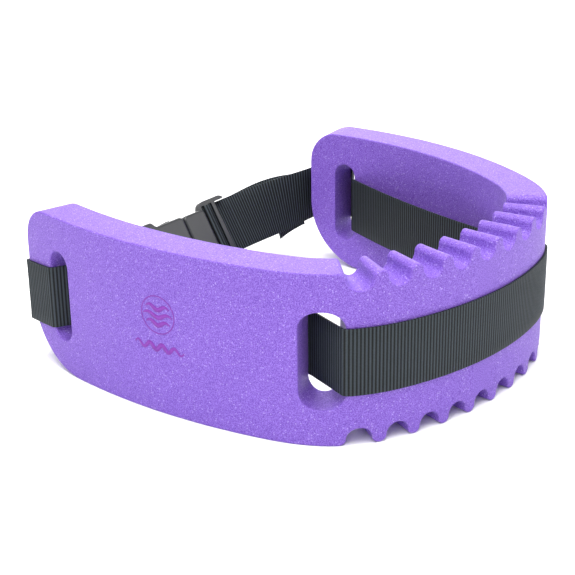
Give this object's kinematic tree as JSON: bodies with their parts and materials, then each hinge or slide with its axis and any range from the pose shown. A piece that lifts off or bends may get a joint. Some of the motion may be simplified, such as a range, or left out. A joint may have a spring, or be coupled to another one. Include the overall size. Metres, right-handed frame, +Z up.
{
  "type": "flotation belt",
  "caption": "C-shaped foam flotation belt for water exercise, notched along the back, with a webbing strap threaded through slots and a side-release buckle.",
  "frame": {"origin": "middle of the whole belt's box, on the surface its lower edge stands on", "axes": "+X towards the end of the belt whose strap is sewn to the buckle's socket, along the strap that crosses the opening; +Y from the opening towards the notched back; +Z up, across the foam's height"},
  "size_m": [0.3616, 0.3442, 0.129],
  "materials": {
    "foam": "matte",
    "webbing": "matte",
    "thread": "matte",
    "buckle_plastic": "satin"
  },
  "bodies": {
    "belt": {"foam_belt": "foam", "strap_back": "webbing", "strap_near_wing": "webbing", "strap_far_wing": "webbing", "strap_near_end": "webbing", "strap_far_end": "webbing", "strap_near_span": "webbing", "strap_far_span": "webbing", "strap_sewn_loop": "webbing", "loop_tack_inner": "thread", "loop_tack_outer": "thread", "buckle_socket": "buckle_plastic"},
    "plug": {"buckle_insert": "buckle_plastic", "strap_ladder_wrap": "webbing", "strap_tail": "webbing", "tail_hem": "webbing", "tail_hem_tack": "thread"},
    "upper_prong": {"prong_upper": "buckle_plastic"},
    "lower_prong": {"prong_lower": "buckle_plastic"}
  },
  "joints": [
    {"name": "buckle_release", "type": "slide", "parent": "belt", "child": "plug", "axis": [-0.9969, -0.0392, 0.0679], "range_m": [0, 0.045], "deforming": ["strap_far_span", "prong_upper", "prong_lower"]},
    {"name": "prong_upper_squeeze", "type": "hinge", "parent": "plug", "child": "upper_prong", "pos_m": [0.0063, -0.15765, 0.06355], "axis": [0, 0.866, 0.5], "range_deg": [0, 17.5], "stiffness_Nm_per_rad": 0.6},
    {"name": "prong_lower_squeeze", "type": "hinge", "parent": "plug", "child": "lower_prong", "pos_m": [0.00412, -0.1438, 0.03955], "axis": [0, -0.866, -0.5], "range_deg": [0, 17.5], "stiffness_Nm_per_rad": 0.6}
  ]
}
